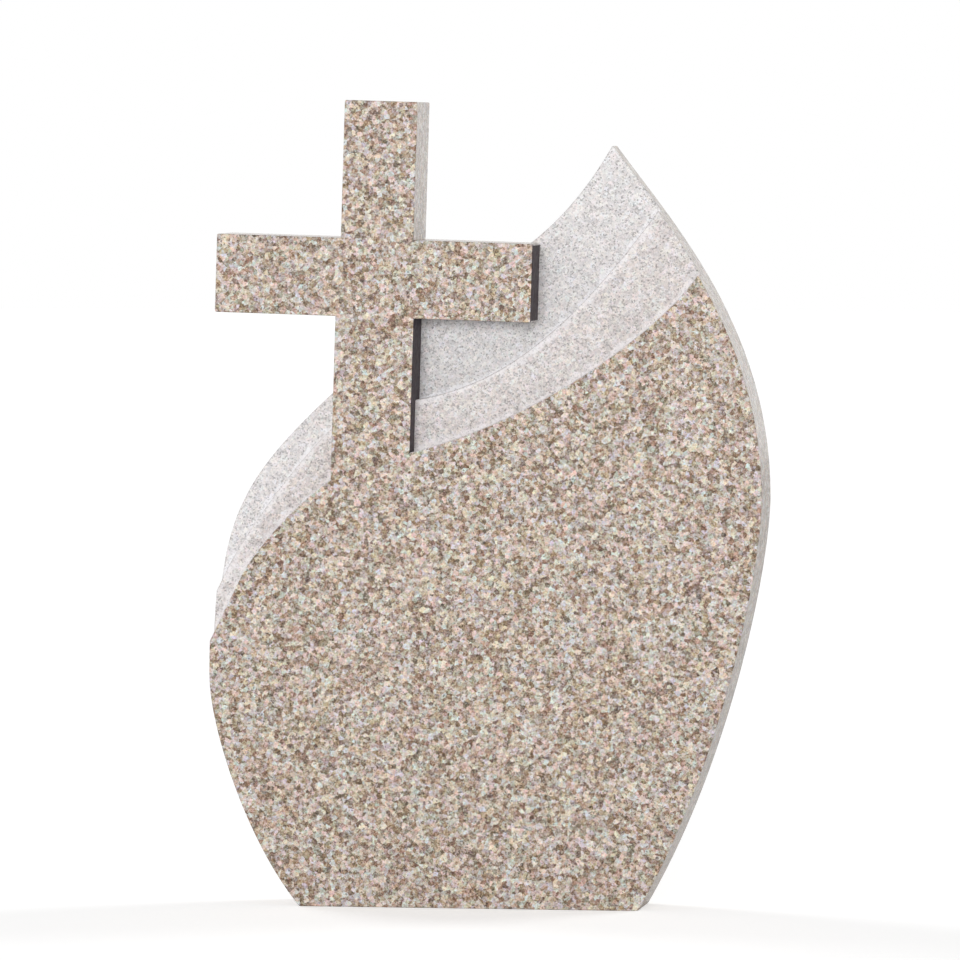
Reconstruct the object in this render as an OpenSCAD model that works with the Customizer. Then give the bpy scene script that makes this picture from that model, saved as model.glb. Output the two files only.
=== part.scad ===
// Upright headstone cut from one slab of granite: a leaf-shaped stone that narrows to a flat foot,
// with a plain cross standing at its left shoulder. The cross is flush with the polished face and
// runs down into it. Behind the cross the stone is lowered in two sweeping steps.
// The stone stands on its foot. X runs along its width, Z is up and the face looks towards -Y.

/* [Stone] */
// Height from the foot to the highest corner of the cross
total_h = 1000; // [920:5:1250]
// Width of the leaf between its widest points
stone_w = 690; // [570:5:850]
// Thickness from the polished face to the back
stone_t = 100; // [80:1:160]

/* [Foot] */
// Width of the flat underside
foot_w = 424; // [300:2:520]
// How far the middle of the foot lies left of the middle of the stone
foot_shift = 20; // [0:1:60]
// Slope of the right side where it leaves the foot, in degrees
foot_right_slope = 60; // [50:1:80]
// Slope of the left side where it leaves the foot, in degrees
foot_left_slope = 50; // [45:1:80]

/* [Leaf] */
// Height of the widest point on the right side
right_belly_h = 510; // [400:5:600]
// Height of the widest point on the left side
left_belly_h = 285; // [220:5:300]
// Height of the leaf's point
tip_h = 944; // [900:2:1000]
// Distance of the leaf's point from the right side of the stone
tip_inset = 193; // [150:1:230]
// Slope of the right side below the point, in degrees
tip_right_slope = 54; // [45:1:65]
// Slope of the left side below the point, in degrees
tip_left_slope = 60; // [55:1:70]
// Where the top edge passes behind the cross, measured right from the axis of the shaft
shoulder_right = 75; // [40:1:110]
// Where the top edge passes behind the cross, measured down from the middle of the arms
shoulder_drop = 22; // [15:1:40]
// Slope of the top edge there, in degrees
shoulder_slope = 41; // [35:1:45]

/* [Cross] */
// Height of the middle of the side arms
arms_h = 780; // [750:2:820]
// Distance of the shaft's axis from the left side of the stone
cross_inset = 210; // [205:1:240]
// Lean of the cross to the right, in degrees
cross_lean = 1.75; // [0:0.25:3]
// Reach of the left arm from the shaft's axis
left_arm = 201; // [150:1:205]
// Reach of the right arm from the shaft's axis
right_arm = 195; // [150:1:235]
// Height of the side arms
arm_w = 97; // [75:1:120]
// Width of the shaft below the arms
shaft_w = 99; // [75:1:120]
// Width of the head above the arms
head_w = 91; // [70:1:115]

/* [Lowered bands] */
// Depth of the lower band below the polished face
lower_band_depth = 30; // [15:1:35]
// Depth of the upper band below the polished face
upper_band_depth = 60; // [40:1:65]

/* [Lower sweep] */
// Height at the right side of the stone
low_right_h = 797; // [760:1:830]
// Distance of that end from the right side of the stone
low_right_inset = 73; // [60:1:90]
// Slope at the right end, in degrees
low_right_slope = 64; // [45:1:75]
// Height where it passes the shaft
low_middle_h = 553; // [500:1:600]
// Slope where it passes the shaft, in degrees
low_middle_slope = 8; // [0:1:25]
// Height at the left side of the stone
low_left_h = 322; // [310:1:350]
// Slope at the left end, in degrees
low_left_slope = 73; // [60:1:80]

/* [Upper sweep] */
// Height at the right side of the stone
high_right_h = 869; // [845:1:890]
// Distance of that end from the right side of the stone
high_right_inset = 128; // [110:1:150]
// Slope at the right end, in degrees
high_right_slope = 54; // [45:1:65]
// Height where it passes the shaft
high_middle_h = 622; // [610:1:650]
// Slope where it passes the shaft, in degrees
high_middle_slope = 4; // [0:1:20]
// Height at the left side of the stone
high_left_h = 370; // [360:1:400]
// Slope at the left end, in degrees
high_left_slope = 85; // [70:1:89]

/* [Hidden] */

// How firmly a curve keeps its direction at its start and at its end, as shares of the distance it spans
foot_to_right_belly_pulls = [0.40, 0.15];
right_belly_to_tip_pulls = [0.44, 0.24];
tip_to_shoulder_pulls = [0.60, 0.15];
shoulder_to_left_belly_pulls = [0.60, 0.43];
left_belly_to_foot_pulls = [0.20, 0.34];
low_right_pulls = [0.15, 0.41];
low_left_pulls = [0.08, 0.49];
high_right_pulls = [0.60, 0.26];
high_left_pulls = [0.15, 0.15];
// The middle of each sweep lies behind the shaft, this far left of its centre line
middle_left_of_shaft = 15;
// Direction of an outline that runs straight up; straight down is its opposite
upwards = 90;

// Straight facets along each curve
curve_steps = 28;
// How far the sweeps run on past the stone, so that they cut right through its sides
overrun = 40;
side_overrun = 2;

left_x = -stone_w / 2;
right_x = stone_w / 2;
cross_x = left_x + cross_inset;
foot_right = [foot_w / 2 - foot_shift, 0];
foot_left = [-foot_w / 2 - foot_shift, 0];
right_belly = [right_x, right_belly_h];
left_belly = [left_x, left_belly_h];
tip = [right_x - tip_inset, tip_h];
shoulder = [cross_x + shoulder_right, arms_h - shoulder_drop];
// The lean lifts the head's left corner, and the head is cut to bring that corner to full height
head_reach = (total_h - arms_h - head_w / 2 * sin(cross_lean)) / cos(cross_lean);
// The shaft runs down inside the polished face
shaft_reach = arms_h - low_left_h;

// Point at a distance and a direction from another point
function along(point, angle, distance) = point + distance * [cos(angle), sin(angle)];

// Cubic curve between two points without its last point
function bend(start, start_angle, end, end_angle, pulls) =
    let (
        chord = norm(end - start),
        start_handle = along(start, start_angle, pulls[0] * chord),
        end_handle = along(end, end_angle + 180, pulls[1] * chord)
    )
    [
        for (step = [0 : curve_steps - 1])
            let (t = step / curve_steps, s = 1 - t)
            s * s * s * start + 3 * s * s * t * start_handle + 3 * s * t * t * end_handle + t * t * t * end
    ];

// Direction of a curve that runs down to the left at a slope
function falling_left(slope) = slope - 180;

// Outline of the leaf, from the foot's right corner up over the point and down the left side
leaf_points = concat(
    bend(foot_right, foot_right_slope, right_belly, upwards, foot_to_right_belly_pulls),
    bend(right_belly, upwards, tip, 180 - tip_right_slope, right_belly_to_tip_pulls),
    bend(tip, falling_left(tip_left_slope), shoulder, falling_left(shoulder_slope), tip_to_shoulder_pulls),
    bend(shoulder, falling_left(shoulder_slope), left_belly, -upwards, shoulder_to_left_belly_pulls),
    bend(left_belly, -upwards, foot_left, -foot_left_slope, left_belly_to_foot_pulls),
    [foot_left]
);

// Everything above a sweep line that runs from the right side of the stone to the left
function above(line) = concat(
    line,
    [[left_x - overrun, line[len(line) - 1][1]], [left_x - overrun, total_h + overrun]],
    [[right_x + overrun, total_h + overrun], [right_x + overrun, line[0][1]]]
);

// Sweep line from beyond the right side of the stone, past the shaft, to just beyond the left side
function sweep(right_end, right_slope, right_pulls, middle, middle_slope, left_end, left_slope, left_pulls) =
    concat(
        [along(right_end, right_slope, overrun)],
        bend(right_end, falling_left(right_slope), middle, falling_left(middle_slope), right_pulls),
        bend(middle, falling_left(middle_slope), left_end, falling_left(left_slope), left_pulls),
        [left_end]
    );

low_right = [right_x - low_right_inset, low_right_h];
low_middle = [cross_x - middle_left_of_shaft, low_middle_h];
low_left = [left_x - side_overrun, low_left_h];
low_sweep = sweep(
    low_right, low_right_slope, low_right_pulls,
    low_middle, low_middle_slope,
    low_left, low_left_slope, low_left_pulls
);

high_right = [right_x - high_right_inset, high_right_h];
high_middle = [cross_x - middle_left_of_shaft, high_middle_h];
high_left = [left_x - side_overrun, high_left_h];
high_sweep = sweep(
    high_right, high_right_slope, high_right_pulls,
    high_middle, high_middle_slope,
    high_left, high_left_slope, high_left_pulls
);

// Stands a flat outline upright, from a distance in front of the middle of the stone backwards
module upright(front, depth) {
    translate([0, depth - front, 0])
        rotate([90, 0, 0])
            linear_extrude(depth)
                children();
}

module leaf_outline() {
    polygon(leaf_points);
}

module cross_outline() {
    translate([cross_x, arms_h])
        rotate(-cross_lean) {
            translate([-left_arm, -arm_w / 2])
                square([left_arm + right_arm, arm_w]);
            translate([-head_w / 2, 0])
                square([head_w, head_reach]);
            translate([-shaft_w / 2, -shaft_reach])
                square([shaft_w, shaft_reach]);
        }
}

// Stone taken away above a sweep, all round the cross
module lowering(line, depth) {
    upright(stone_t / 2 + overrun, depth + overrun)
        difference() {
            polygon(above(line));
            cross_outline();
        }
}

module headstone() {
    color([0.74, 0.68, 0.63])
        difference() {
            upright(stone_t / 2, stone_t)
                union() {
                    leaf_outline();
                    cross_outline();
                }
            lowering(low_sweep, lower_band_depth);
            lowering(high_sweep, upper_band_depth);
        }
}

headstone();
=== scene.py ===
import math

import bmesh
import bpy
import numpy as np
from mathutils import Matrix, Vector, noise
from mathutils.geometry import delaunay_2d_cdt


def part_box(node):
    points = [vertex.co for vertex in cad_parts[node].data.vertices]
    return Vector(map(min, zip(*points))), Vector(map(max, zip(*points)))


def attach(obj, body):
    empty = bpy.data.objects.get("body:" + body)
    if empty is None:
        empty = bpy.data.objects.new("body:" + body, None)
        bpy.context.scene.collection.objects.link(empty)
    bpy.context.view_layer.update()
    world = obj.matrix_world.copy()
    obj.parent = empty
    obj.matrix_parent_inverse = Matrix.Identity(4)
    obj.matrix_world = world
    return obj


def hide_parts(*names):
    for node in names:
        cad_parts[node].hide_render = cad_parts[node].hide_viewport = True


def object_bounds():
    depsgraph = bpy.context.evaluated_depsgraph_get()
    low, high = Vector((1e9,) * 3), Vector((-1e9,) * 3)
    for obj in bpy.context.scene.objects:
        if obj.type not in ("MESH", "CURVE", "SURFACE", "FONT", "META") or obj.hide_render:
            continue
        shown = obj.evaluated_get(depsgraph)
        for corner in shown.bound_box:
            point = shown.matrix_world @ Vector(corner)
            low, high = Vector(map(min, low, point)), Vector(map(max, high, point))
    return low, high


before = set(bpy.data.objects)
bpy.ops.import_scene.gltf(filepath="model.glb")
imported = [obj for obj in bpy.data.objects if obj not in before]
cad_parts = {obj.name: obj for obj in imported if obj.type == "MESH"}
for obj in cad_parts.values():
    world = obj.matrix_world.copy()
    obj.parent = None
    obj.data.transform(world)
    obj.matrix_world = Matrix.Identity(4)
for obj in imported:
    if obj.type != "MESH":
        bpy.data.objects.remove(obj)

cad_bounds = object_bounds()
MM = 0.001

# How the masons worked the stone. Sizes are in metres
ARRIS = 2.0 * MM                 # rounding of every outer edge
ARRIS_STEPS = 3
ARRIS_REACH = 1.2 * ARRIS        # the rounding of a band's edge lies within this of the band's level
BLAST_PITCH = 2.7 * MM           # spacing of the points of the blasted relief
RIM_STEP = 1.5 * BLAST_PITCH     # longer edges round a band are split at that spacing
RIM_GAP = 0.6 * BLAST_PITCH      # relief points keep this far from the edges round a band
BLAST_DEPTH = 0.5 * MM           # height of its ups and downs
BLAST_WAVE = 7.5 * MM            # width of its broad dips
BLAST_FINE_SCALE = 2.3           # its fine dips are this many times narrower
BLAST_FINE_SHARE = 0.5           # and this much as deep
BLAST_SLICE = 3.7                # level at which the noise that shapes the dips is read
BLAST_FADE = 2.5 * BLAST_PITCH   # distance from the rim over which the relief sets in
MARGIN_REACH = 12.8 * MM         # distance from a stepped edge over which the whiter margin fades

# How faces and edges of the stone are told apart
SAME_POINT = 0.002 * MM
SAME_PLANE = math.radians(0.05)
EDGE_ANGLE = math.radians(25)    # sharper corners than this are edges, gentler ones are one curved side
SHADE_ANGLE = math.radians(40)   # sharper corners than this are shaded as edges
SHORTEST_EDGE = 1.5 * MM
SQUARE_ON = 0.99                 # a face with this much of its normal along an axis faces that way
EDGE_ON = 0.1                    # a face with less than this of its normal forward is seen edge on
SMALLEST_CHEEK = 1500 * MM * MM  # walls beside the bands that are larger than this belong to the cross
SMALLEST_FLOOR = 100 * MM * MM
RUN_OUT = 40 * MM                # length over which a step wall runs out along the outline
OUTLINE_ROOM = RUN_OUT / 5       # length of outline beside it that is left straight too
STRAIGHT = 0.9999                # two lengths of edge whose directions agree this well are one straight edge

# delaunay_2d_cdt keeps only the triangles inside the loop, and treats points this near as one
CDT_INSIDE, CDT_NEARNESS = 1, 1e-9

# the third of these is painted shade on the cross's walls beside the bands
POLISHED, BLASTED, PAINTED_SHADE_CHEEK, HONED = range(4)


# ---------------------------------------------------------------- stone mesh

def runs_back(edge):
    """True for an edge that runs from front to back."""
    return abs(edge.verts[0].co.y - edge.verts[1].co.y) > MM


def is_floor(face):
    """True for the lowered flats of the bands."""
    return face.material_index == BLASTED and face.normal.y < -SQUARE_ON


def is_step_wall(face):
    """True for the walls between one level and the next."""
    return face.material_index == BLASTED and abs(face.normal.y) < EDGE_ON


def band_levels(bm):
    """How far back each lowered band lies, to a tenth of a millimetre, the front one first."""
    return sorted({round(f.calc_center_median().y, 4) for f in bm.faces if is_floor(f)})


def clean_stone(node):
    """The CAD node as large flat faces, with tiny edges closed up."""
    bm = bmesh.new()
    bm.from_mesh(node.data)
    bmesh.ops.remove_doubles(bm, verts=bm.verts, dist=SAME_POINT)
    bmesh.ops.dissolve_limit(bm, angle_limit=SAME_PLANE, verts=bm.verts, edges=bm.edges)
    for edge in [e for e in bm.edges if e.calc_length() < SHORTEST_EDGE and not runs_back(e)]:
        if edge.is_valid:
            bmesh.ops.pointmerge(bm, verts=list(edge.verts), merge_co=edge.verts[0].co.copy())
    bm.normal_update()
    return bm


def sort_faces(bm, low, high):
    """Gives each face the finish that its place on the stone has, or painted shade on the cross's larger
    walls beside the bands.
    """
    for face in bm.faces:
        centre = face.calc_center_median()
        reaches_back = max(v.co.y for v in face.verts) > high.y - MM
        if face.normal.y < -SQUARE_ON:
            face.material_index = POLISHED if centre.y < low.y + MM else BLASTED
        elif face.normal.y > SQUARE_ON or (face.normal.z < -SQUARE_ON and centre.z < low.z + MM):
            face.material_index = HONED
        elif reaches_back:
            face.material_index = POLISHED
        # the cross's larger walls beside the bands get a dark colour that is painted shade
        elif face.calc_area() > SMALLEST_CHEEK:
            face.material_index = PAINTED_SHADE_CHEEK
        else:
            face.material_index = BLASTED


def step_lines(bm):
    """The two stepped edges as seen from the front, as pairs of points."""
    lines = []
    for wall in filter(is_step_wall, bm.faces):
        along = Vector((-wall.normal.z, 0, wall.normal.x))
        ends = sorted((v.co for v in wall.verts), key=along.dot)
        lines.append(((ends[0].x, ends[0].z), (ends[-1].x, ends[-1].z)))
    return np.array(lines)


def straighten_wall_ends(bm):
    """Leaves fewer facets where a step wall runs out along the outline, so that the rounding has room."""
    def walls_beside(edge):
        return sum(map(is_step_wall, edge.link_faces))

    def seen_at(edge):
        return edge.verts[0].co * Vector((1, 0, 1))

    ridges = [e for e in bm.edges if runs_back(e) and e.calc_face_angle(math.pi) < EDGE_ANGLE]
    run_outs = [seen_at(e) for e in ridges if walls_beside(e) == 1]
    # How near a run-out a ridge may not be, by the number of step walls beside it
    room = {0: OUTLINE_ROOM, 1: 0.0, 2: RUN_OUT}
    crowded = [e for e in ridges
               if any((seen_at(e) - end).length < room[walls_beside(e)] for end in run_outs)]
    bmesh.ops.dissolve_edges(bm, edges=crowded, use_verts=True)


def round_arrises(bm):
    """Rounds the outer edges. The rounding beside a blasted band is blasted too."""
    levels = band_levels(bm)
    sharp = [e for e in bm.edges if e.is_convex and e.calc_face_angle(0) > EDGE_ANGLE]
    rounded = bmesh.ops.bevel(bm, geom=sharp, offset=ARRIS, segments=ARRIS_STEPS, profile=0.5,
                              affect="EDGES", clamp_overlap=False, material=-1, loop_slide=True)
    for face in rounded["faces"]:
        y = face.calc_center_median().y
        if any(abs(y - level) < ARRIS_REACH for level in levels):
            face.material_index = BLASTED


def is_straight_on(edge, behind, at):
    """True where an edge goes on from the one behind it without a bend."""
    back = behind.other_vert(at).co - at.co
    ahead = edge.other_vert(at).co - at.co
    return back.normalized().dot(ahead.normalized()) < -STRAIGHT


def split_edge(edge):
    """Cuts an edge into equal lengths near the spacing of the relief."""
    start = edge.verts[0]
    for parts in range(round(edge.calc_length() / BLAST_PITCH), 1, -1):
        edge, start = bmesh.utils.edge_split(edge, start, 1.0 / parts)
        edge = next(e for e in start.link_edges if e is not edge and is_straight_on(e, edge, start))


def line_distance(points, lines):
    """Distance of each point from the nearest of many short lines."""
    best = np.full(len(points), np.inf)
    for start, end in lines:
        run = end - start
        share = np.clip(((points - start) @ run) / max(run @ run, SAME_POINT ** 2), 0, 1)
        best = np.minimum(best, np.hypot(*(points - start - share[:, None] * run).T))
    return best


def boundary_distance(points, loop):
    """Distance of each point from a closed loop, and whether it lies inside."""
    ahead = np.roll(loop, -1, axis=0)
    inside = np.zeros(len(points), bool)
    for p, q in zip(loop, ahead):
        rise = q[1] - p[1]
        if rise:
            crosses = (p[1] > points[:, 1]) != (q[1] > points[:, 1])
            inside ^= crosses & (points[:, 0] < p[0] + (points[:, 1] - p[1]) * (q[0] - p[0]) / rise)
    return line_distance(points, zip(loop, ahead)), inside


def grid_inside(loop):
    """Points of the relief in staggered rows inside a closed loop, and how far each is from its line."""
    low, high = loop.min(0), loop.max(0)
    row_height = BLAST_PITCH * math.sqrt(0.75)
    rows = []
    for i in range(int((high[1] - low[1]) / row_height) + 1):
        xs = np.arange(low[0] + (i % 2) * BLAST_PITCH / 2, high[0], BLAST_PITCH)
        rows.append(np.column_stack([xs, np.full(len(xs), low[1] + i * row_height)]))
    points = np.vstack(rows)
    distance, inside = boundary_distance(points, loop)
    keep = inside & (distance > RIM_GAP)
    return points[keep], distance[keep]


def fill_loop(loop, inner=()):
    """Points and sound triangles that fill a closed flat loop, and each point's number in the input."""
    count = len(loop)
    rim = [(i, (i + 1) % count) for i in range(count)]
    flat = [Vector(p) for p in (*loop, *inner)]
    made, _, triangles, origin, _, _ = delaunay_2d_cdt(flat, rim, [], CDT_INSIDE, CDT_NEARNESS)
    return made, triangles, [min(source) for source in origin]


def swap_face(bm, face, triangles):
    """Puts triangles in the place of a face, with its finish and facing its way."""
    facing, finish = face.normal.copy(), face.material_index
    bm.faces.remove(face)
    for corners in triangles:
        new = bm.faces.new(corners)
        new.normal_update()
        if new.normal.dot(facing) < 0:
            new.normal_flip()
        new.material_index = finish


def split_many_sided(bm):
    """Cuts every face with more than four sides into triangles, none of them along one straight rim."""
    for face in [f for f in bm.faces if len(f.verts) > 4]:
        verts = list(face.verts)
        longest = max(face.edges, key=lambda e: e.calc_length())
        across = (longest.verts[1].co - longest.verts[0].co).normalized()
        up = face.normal.cross(across)
        _, triangles, origin = fill_loop([(v.co.dot(across), v.co.dot(up)) for v in verts])
        swap_face(bm, face, [[verts[origin[i]] for i in triangle] for triangle in triangles])


def blast_height(x, z):
    """Height of the blasted surface at a place, as a share of its depth."""
    place = Vector((x / BLAST_WAVE, BLAST_SLICE, z / BLAST_WAVE))
    return noise.noise(place) + BLAST_FINE_SHARE * noise.noise(place * BLAST_FINE_SCALE)


def blast_floor(bm, face):
    """Replaces one flat lowered face with a fine pitted one that meets the same edges."""
    verts = list(face.verts)
    count = len(verts)
    y = sum(v.co.y for v in verts) / count
    loop = np.array([(v.co.x, v.co.z) for v in verts])
    inner, distance = grid_inside(loop)
    made, triangles, origin = fill_loop(loop, inner)
    placed = []
    for co, source in zip(made, origin):
        if source < count:
            placed.append(verts[source])
            continue
        rise = min(1.0, distance[source - count] / BLAST_FADE)
        placed.append(bm.verts.new((co.x, y + BLAST_DEPTH * rise * blast_height(co.x, co.y), co.y)))
    swap_face(bm, face, [[placed[i] for i in triangle] for triangle in triangles])


def blast_bands(bm):
    """Pits every lowered flat, from edges that are split at the spacing of its points."""
    floors = [f for f in bm.faces if is_floor(f) and f.calc_area() > SMALLEST_FLOOR]
    rims = {e for f in floors for e in f.edges if e.calc_length() > RIM_STEP}
    for edge in sorted(rims, key=lambda e: tuple(e.verts[0].co) + tuple(e.verts[1].co)):
        split_edge(edge)
    for face in floors:
        blast_floor(bm, face)


def mark_margins(bm, lines):
    """Records on each point how far it lies within the margin along the stepped edges."""
    layer = bm.verts.layers.float.new("margin")
    verts = list(bm.verts)
    away = line_distance(np.array([(v.co.x, v.co.z) for v in verts]), lines)
    for vert, distance in zip(verts, away):
        vert[layer] = max(0.0, 1.0 - distance / MARGIN_REACH)


def stone_mesh(node):
    """The visible stone, and how far back each of its lowered bands lies."""
    low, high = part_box(node.name)
    bm = clean_stone(node)
    sort_faces(bm, low, high)
    levels = band_levels(bm)
    lines = step_lines(bm)
    straighten_wall_ends(bm)
    round_arrises(bm)
    bm.normal_update()
    blast_bands(bm)
    bm.normal_update()
    split_many_sided(bm)
    mark_margins(bm, lines)
    bm.normal_update()
    for edge in bm.edges:
        edge.smooth = edge.calc_face_angle(0) < SHADE_ANGLE
    for face in bm.faces:
        face.smooth = True
    mesh = bpy.data.meshes.new("stone")
    bm.to_mesh(mesh)
    bm.free()
    return mesh, levels


# ---------------------------------------------------------------- granite

class Nodes:
    """Short ways to add shader nodes to a material or a world. Sizes of patterns are in metres."""

    def __init__(self, owner):
        owner.use_nodes = True
        self.tree = owner.node_tree
        self.tree.nodes.clear()

    def add(self, kind, **settings):
        node = self.tree.nodes.new("ShaderNode" + kind)
        for name, value in settings.items():
            setattr(node, name, value)
        return node

    def link(self, source, target):
        self.tree.links.new(source, target)

    def feed(self, socket, value):
        if isinstance(value, bpy.types.NodeSocket):
            self.link(value, socket)
        else:
            socket.default_value = value

    def math(self, operation, a, b=0.0):
        node = self.add("Math", operation=operation)
        self.feed(node.inputs[0], a)
        self.feed(node.inputs[1], b)
        return node.outputs[0]

    def mix(self, factor, a, b, blend="MIX"):
        """Mixes two colours, which a Mix node takes at 6 and 7 and gives at 2."""
        node = self.add("Mix", data_type="RGBA", blend_type=blend)
        self.feed(node.inputs["Factor"], factor)
        self.feed(node.inputs[6], a)
        self.feed(node.inputs[7], b)
        return node.outputs[2]

    def rescale(self, value, start, end, interpolation="LINEAR"):
        """Runs from 0 to 1 as the value goes from start to end."""
        node = self.add("MapRange", interpolation_type=interpolation)
        self.link(value, node.inputs["Value"])
        node.inputs["From Min"].default_value = start
        node.inputs["From Max"].default_value = end
        return node.outputs[0]

    def split(self, vector):
        node = self.add("SeparateXYZ")
        self.link(vector, node.inputs[0])
        return node.outputs

    def noise(self, place, size, detail=2.0):
        node = self.add("TexNoise")
        self.feed(node.inputs["Vector"], place)
        node.inputs["Scale"].default_value = 1 / size
        node.inputs["Detail"].default_value = detail
        return node

    def cells(self, place, size):
        """Three random numbers for each grain."""
        node = self.add("TexVoronoi", voronoi_dimensions="3D", feature="F1")
        self.feed(node.inputs["Vector"], place)
        node.inputs["Scale"].default_value = 1 / size
        parts = self.add("SeparateColor")
        self.link(node.outputs["Color"], parts.inputs[0])
        return parts.outputs

    def colour(self, red, green, blue):
        node = self.add("CombineColor")
        for channel, value in zip(node.inputs, (red, green, blue)):
            self.feed(channel, value)
        return node.outputs[0]

    def ramp(self, value, stops):
        node = self.add("ValToRGB")
        self.feed(node.inputs[0], value)
        ramp = node.color_ramp
        while len(ramp.elements) > 1:
            ramp.elements.remove(ramp.elements[-1])
        for i, (position, colour) in enumerate(stops):
            element = ramp.elements[0] if i == 0 else ramp.elements.new(position)
            element.position = position
            element.color = colour
        return node.outputs["Color"]


def linear(*srgb):
    """A colour written as it looks, with channels from 11 to 255, in the renderer's linear terms."""
    return *(((c / 255 + 0.055) / 1.055) ** 2.4 for c in srgb), 1.0


# Tones of the granite from its darkest to its palest mineral
TONES = (
    (0.00, linear(62, 50, 44)),
    (0.18, linear(112, 90, 73)),
    (0.34, linear(151, 131, 112)),
    (0.50, linear(186, 171, 157)),
    (0.66, linear(210, 198, 188)),
    (0.82, linear(228, 219, 214)),
    (1.00, linear(243, 238, 234)),
)
# Sizes of the grains that overlap to make the speckle, and how much each one counts
GRAINS = ((5.4 * MM, 0.45), (3.1 * MM, 0.27), (1.5 * MM, 0.28))
GRAIN_BEND, GRAIN_BEND_SIZE = 2.0 * MM, 2.2 * MM  # how far and how finely the grains' sides are bent
CLOUD, CLOUD_SIZE = 0.10, 1 / 24                  # paler and darker areas across many grains
WARM, GREEN = 0.45, 0.42                          # lean of single grains to brown or grey, green or pink
# Dark mica
FLECK, FLECK_SHARE, FLECK_STRENGTH = 2.0 * MM, 0.05, 0.6
FLECK_COLOUR = linear(58, 52, 50)

# Blasted bands; the extra white of the deeper band is painted light that offsets the shade in its recess
FRONT_WHITE, DEEP_PAINTED_LIGHT_WHITE = linear(248, 245, 247), linear(252, 252, 255)
WHITENING, MARGIN_WHITENING, DEEP_PAINTED_LIGHT = 0.58, 0.24, 0.07
MARGIN_FRAY, MARGIN_FRAY_SIZE = 2.0, 14 * MM      # how far and how finely the margin's side wanders
MARGIN_START, MARGIN_FULL = 1.35, 1.85            # nearness and fray together where it begins, and is full
PIT, PIT_RARITY = 1.7 * MM, 4.0                   # higher rarity leaves fewer dark pits
PIT_SHADE, MARGIN_PIT_RELIEF = 0.52, 0.22         # shade in the pits, and how much less in the margin
GRIT, GRIT_HEIGHT = 1.6 * MM, 0.4 * MM            # fine roughness between the modelled dips

# Cheeks of the cross darkened with painted shade, and plain honed back
PAINTED_SHADE_COLOUR, PAINTED_SHADE_COVER, CHEEK_SHEEN = linear(50, 43, 55), 0.9, 0.25
HONED_COLOUR, HONED_COVER = linear(205, 198, 190), 0.15
HONING, HONING_HEIGHT = 1.2 * MM, 0.12 * MM


def lean(n, value, reach):
    """A random number from 0 to 1 as a lean to either side of nothing."""
    return n.math("MULTIPLY", n.math("SUBTRACT", value, 0.5), reach)


def granite_colour(n, place):
    """The speckle that runs right through the stone, so that it goes on across every finish."""
    bent = n.add("VectorMath", operation="MULTIPLY_ADD")
    n.link(n.noise(place, GRAIN_BEND_SIZE, detail=1.0).outputs["Color"], bent.inputs[0])
    bent.inputs[1].default_value = (GRAIN_BEND,) * 3
    n.link(place, bent.inputs[2])
    totals = [0.0, 0.0, 0.0]
    for size, weight in GRAINS:
        grain = n.cells(bent.outputs[0], size)
        totals = [n.math("ADD", n.math("MULTIPLY", part, weight), total)
                  for part, total in zip(grain, totals)]
    tone, warm, green = totals
    cloud = n.noise(place, CLOUD_SIZE, detail=3.0).outputs["Fac"]
    colour = n.ramp(n.math("ADD", tone, lean(n, cloud, CLOUD)), TONES)
    warmer, greener = lean(n, warm, WARM), lean(n, green, GREEN)
    tint = n.colour(n.math("ADD", 1.0, warmer), n.math("ADD", 1.0, greener), n.math("SUBTRACT", 1.0, warmer))
    colour = n.mix(1.0, colour, tint, "MULTIPLY")
    is_fleck = n.math("LESS_THAN", n.cells(bent.outputs[0], FLECK)[0], FLECK_SHARE)
    return n.mix(n.math("MULTIPLY", is_fleck, FLECK_STRENGTH), colour, FLECK_COLOUR)


def principled(n, colour, roughness, bump=None, bump_height=0.0):
    shader = n.add("BsdfPrincipled")
    n.feed(shader.inputs["Base Color"], colour)
    n.feed(shader.inputs["Roughness"], roughness)
    if bump is not None:
        node = n.add("Bump")
        node.inputs["Distance"].default_value = bump_height
        node.inputs["Strength"].default_value = 1.0
        n.link(bump, node.inputs["Height"])
        n.link(node.outputs[0], shader.inputs["Normal"])
    n.link(shader.outputs[0], n.add("OutputMaterial").inputs[0])
    return shader


def new_material(name):
    """An empty material and the place in the stone that its pattern is read from."""
    material = bpy.data.materials.new(name)
    n = Nodes(material)
    return material, n, n.add("TexCoord").outputs["Object"]


def polished_granite():
    material, n, place = new_material("granite_polished")
    principled(n, granite_colour(n, place), roughness=0.2)
    return material


def margin_strength(n, place):
    """The smoother, whiter margin along the stepped edges. It leaves the step walls alone."""
    near = n.add("Attribute", attribute_name="margin").outputs["Fac"]
    fray = n.noise(place, MARGIN_FRAY_SIZE, detail=3.0).outputs["Fac"]
    reach = n.math("ADD", near, n.math("MULTIPLY", fray, MARGIN_FRAY))
    margin = n.rescale(reach, MARGIN_START, MARGIN_FULL, "SMOOTHSTEP")
    forward = n.split(n.add("TexCoord").outputs["Normal"])["Y"]
    return n.math("MULTIPLY", margin, n.math("MULTIPLY", forward, forward))


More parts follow.
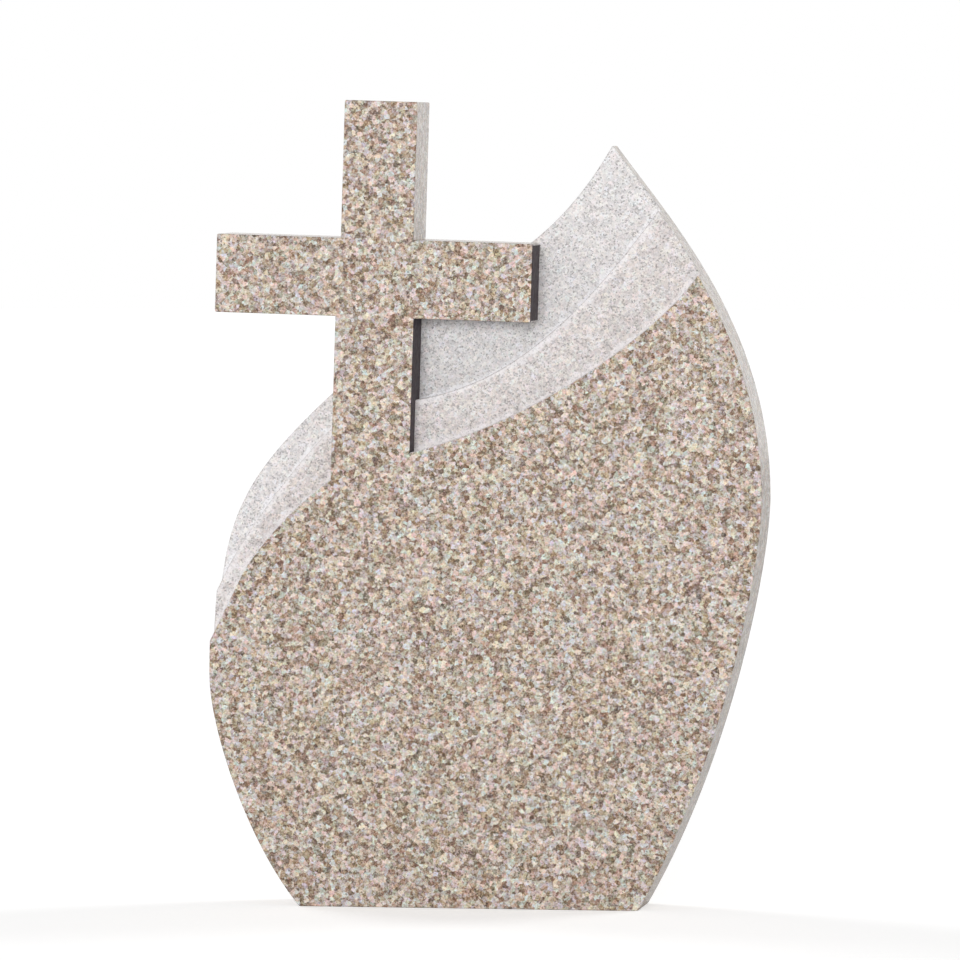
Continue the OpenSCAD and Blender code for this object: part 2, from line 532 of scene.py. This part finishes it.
def blasted_granite(levels):
    """Sand-blasted bands: whitened granite with fine dark pits, made a little whiter where they lie deeper
    by painted light that offsets the shade in the recess.
    """
    material, n, place = new_material("granite_blasted")
    deeper = n.rescale(n.split(place)["Y"], levels[0], levels[-1])
    margin = margin_strength(n, place)
    white = n.math("ADD", WHITENING, n.math("MULTIPLY", margin, MARGIN_WHITENING))
    # painted light: whiter with depth, to offset the shade in the deeper recess
    white = n.math("ADD", white, n.math("MULTIPLY", deeper, DEEP_PAINTED_LIGHT))
    colour = n.mix(white, granite_colour(n, place), n.mix(deeper, FRONT_WHITE, DEEP_PAINTED_LIGHT_WHITE))
    pit = n.math("POWER", n.cells(place, PIT)[0], PIT_RARITY)
    pit_shade = n.math("SUBTRACT", PIT_SHADE, n.math("MULTIPLY", margin, MARGIN_PIT_RELIEF))
    shade = n.math("SUBTRACT", 1.0, n.math("MULTIPLY", pit, pit_shade))
    colour = n.mix(1.0, colour, n.colour(shade, shade, shade), "MULTIPLY")
    grit = n.noise(place, GRIT).outputs["Fac"]
    principled(n, colour, roughness=0.9, bump=grit, bump_height=GRIT_HEIGHT)
    return material


def painted_shade_cheek():
    """The walls of the cross beside the bands, darkened with painted shade that sets the cross off from
    them.
    """
    material, n, place = new_material("granite_painted_shade_cheek")
    # dark colour over the granite is painted shade on these walls
    shader = principled(n, n.mix(PAINTED_SHADE_COVER, granite_colour(n, place), PAINTED_SHADE_COLOUR), roughness=0.7)
    shader.inputs["Specular IOR Level"].default_value = CHEEK_SHEEN
    return material


def honed_granite():
    """Plainer back and underside."""
    material, n, place = new_material("granite_honed")
    colour = n.mix(HONED_COVER, granite_colour(n, place), HONED_COLOUR)
    honing = n.noise(place, HONING).outputs["Fac"]
    principled(n, colour, roughness=0.55, bump=honing, bump_height=HONING_HEIGHT)
    return material


# ---------------------------------------------------------------- the object

mesh, levels = stone_mesh(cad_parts["headstone"])
stone = bpy.data.objects.new("granite_headstone", mesh)
bpy.context.scene.collection.objects.link(stone)
for material in (polished_granite(), blasted_granite(levels), painted_shade_cheek(), honed_granite()):
    stone.data.materials.append(material)
even = stone.modifiers.new("even_normals", "WEIGHTED_NORMAL")
even.keep_sharp = True
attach(stone, "root")
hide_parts("headstone")


# ---------------------------------------------------------------- camera

low, high = (Vector(corner) for corner in cad_bounds)
AZIMUTH = 8.5             # degrees to the right of straight on
ELEVATION = 2.6           # degrees above level
DISTANCE = 10.0
PICTURE_WIDTH = 1.191     # metres across the picture at the stone
ASIDE, ABOVE = -0.0121, 0.029   # where the camera looks, from the stone's middle


def direction(azimuth, elevation):
    """The way from the stone to something at an angle round it and above it, in degrees."""
    a, e = math.radians(azimuth), math.radians(elevation)
    return Vector((math.sin(a) * math.cos(e), -math.cos(a) * math.cos(e), math.sin(e)))


back = direction(AZIMUTH, ELEVATION)
right = direction(AZIMUTH + 90, 0)
target = (low + high) / 2 + ASIDE * right + ABOVE * back.cross(right)
camera = bpy.data.objects.new("camera", bpy.data.cameras.new("camera"))
camera.location = target + DISTANCE * back
camera.rotation_euler = back.to_track_quat("Z", "Y").to_euler()
camera.data.lens = camera.data.sensor_width * DISTANCE / PICTURE_WIDTH
camera.data.clip_end = 10 * DISTANCE
bpy.context.scene.collection.objects.link(camera)
bpy.context.scene.camera = camera


# ---------------------------------------------------------------- stage and light

FLOOR_SIZE = 60.0
FLOOR_WHITENESS = 0.86
FLOOR_GLOW = 0.42         # lifts the floor to plain white for the camera, apart from the stone's shadow
AMBIENT, KEY, FILL = 0.40, 0.66, 0.28  # shares of full light
LAMP_SPREAD = 24          # degrees across
LAMP_DISTANCE = 4.0


def white_floor():
    """White card that keeps the stone's shadow and is plain white to the camera elsewhere."""
    material = bpy.data.materials.new("white_floor")
    n = Nodes(material)
    card = n.add("BsdfDiffuse")
    card.inputs["Color"].default_value = (FLOOR_WHITENESS,) * 3 + (1,)
    glow = n.add("Emission")
    glow.inputs["Strength"].default_value = FLOOR_GLOW
    both = n.add("AddShader")
    n.link(card.outputs[0], both.inputs[0])
    n.link(glow.outputs[0], both.inputs[1])
    seen = n.add("MixShader")
    n.link(n.add("LightPath").outputs["Is Camera Ray"], seen.inputs[0])
    n.link(card.outputs[0], seen.inputs[1])
    n.link(both.outputs[0], seen.inputs[2])
    n.link(seen.outputs[0], n.add("OutputMaterial").inputs[0])
    return material


def lay_floor(z):
    h = FLOOR_SIZE / 2
    mesh = bpy.data.meshes.new("floor")
    mesh.from_pydata([(-h, -h, z), (h, -h, z), (h, h, z), (-h, h, z)], [], [(0, 1, 2, 3)])
    mesh.materials.append(white_floor())
    floor = bpy.data.objects.new("floor", mesh)
    bpy.context.scene.collection.objects.link(floor)


def hang_sky():
    """A soft even light from all sides that is plain white wherever it is seen itself."""
    world = bpy.data.worlds.new("studio")
    bpy.context.scene.world = world
    n = Nodes(world)
    path = n.add("LightPath").outputs
    seen = n.math("MAXIMUM", path["Is Camera Ray"], path["Is Glossy Ray"])
    seen = n.math("MAXIMUM", seen, path["Is Transmission Ray"])
    sky = n.add("Background")
    sky.inputs["Color"].default_value = (1, 1, 1, 1)
    n.feed(sky.inputs["Strength"], n.math("ADD", n.math("MULTIPLY", seen, 1 - AMBIENT), AMBIENT))
    n.link(sky.outputs[0], n.add("OutputWorld").inputs[0])


def soft_sun(name, azimuth, elevation, level):
    """A broad lamp; a surface that faces it squarely gets the given share of full light."""
    away = direction(azimuth, elevation)
    lamp = bpy.data.lights.new(name, "SUN")
    lamp.angle = math.radians(LAMP_SPREAD)
    lamp.energy = math.pi * level
    sun = bpy.data.objects.new(name, lamp)
    sun.location = target + LAMP_DISTANCE * away
    sun.rotation_euler = away.to_track_quat("Z", "Y").to_euler()
    sun.visible_glossy = False
    bpy.context.scene.collection.objects.link(sun)


lay_floor(low.z)
hang_sky()
soft_sun("key", azimuth=-2, elevation=6, level=KEY)
soft_sun("fill_right", azimuth=125, elevation=30, level=FILL)
soft_sun("fill_left", azimuth=-125, elevation=30, level=FILL)

bpy.context.scene.view_settings.view_transform = "Standard"
